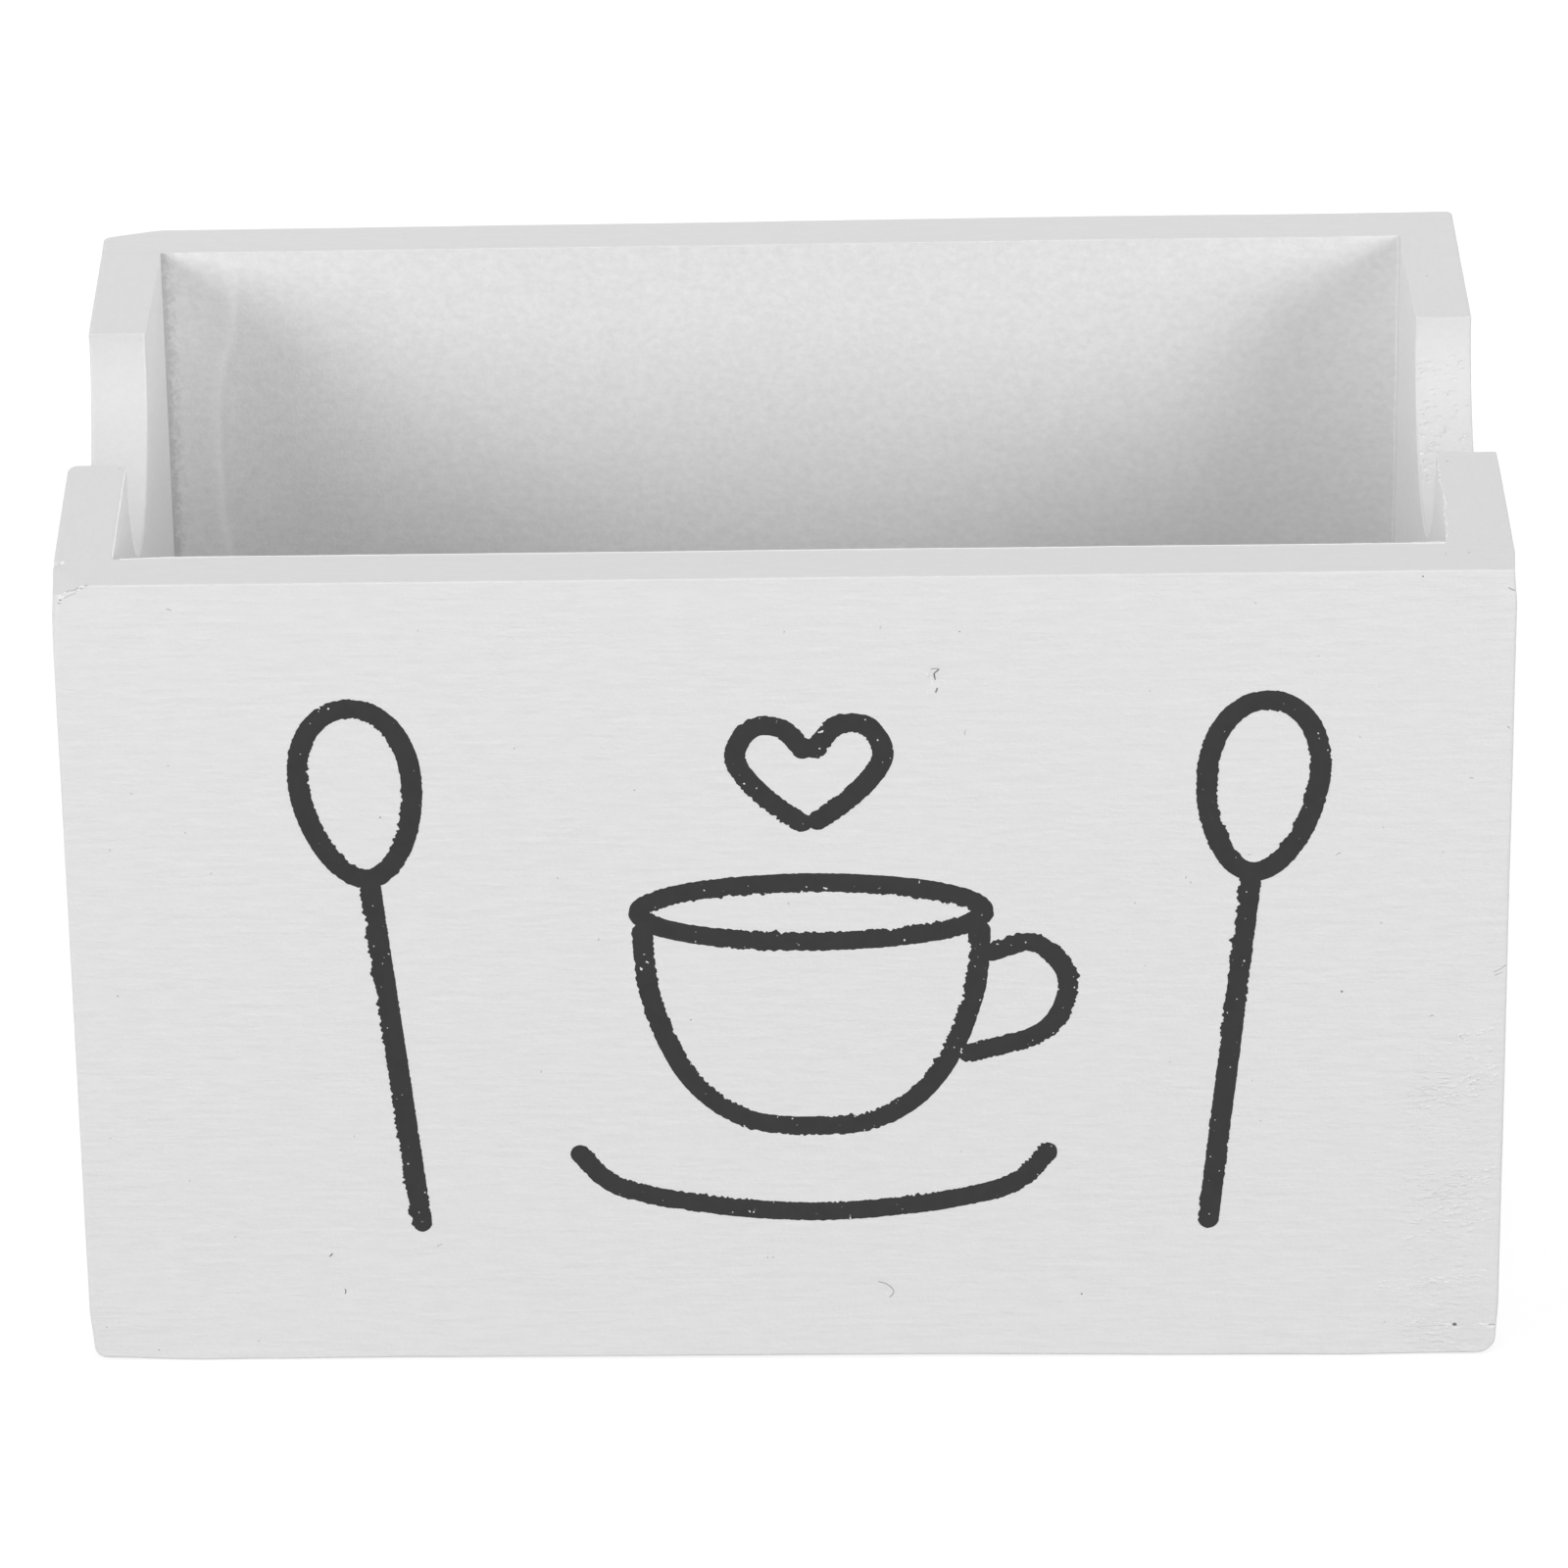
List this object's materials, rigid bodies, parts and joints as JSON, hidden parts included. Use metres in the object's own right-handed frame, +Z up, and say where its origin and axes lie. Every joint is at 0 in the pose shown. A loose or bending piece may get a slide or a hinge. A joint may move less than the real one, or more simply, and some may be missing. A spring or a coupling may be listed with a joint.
{
  "type": "sugar packet holder",
  "caption": "Small open-topped box of white painted boards that stands on a table and holds sugar packets upright, with a half-round finger notch in each side.",
  "frame": {"origin": "middle of the foot of the box, on the surface it stands on", "axes": "+X to the right along the front board, -Y out of the front face, +Z up through the open top"},
  "size_m": [0.13, 0.08, 0.08],
  "materials": {
    "painted_wood": "white eggshell paint over softwood boards",
    "pin_steel": "bright drawn wire"
  },
  "bodies": {
    "root": {"front_board": "painted_wood", "back_board": "painted_wood", "left_side_board": "painted_wood", "right_side_board": "painted_wood", "base_board": "painted_wood", "wall_pins": "pin_steel", "base_pins": "pin_steel"}
  },
  "joints": []
}
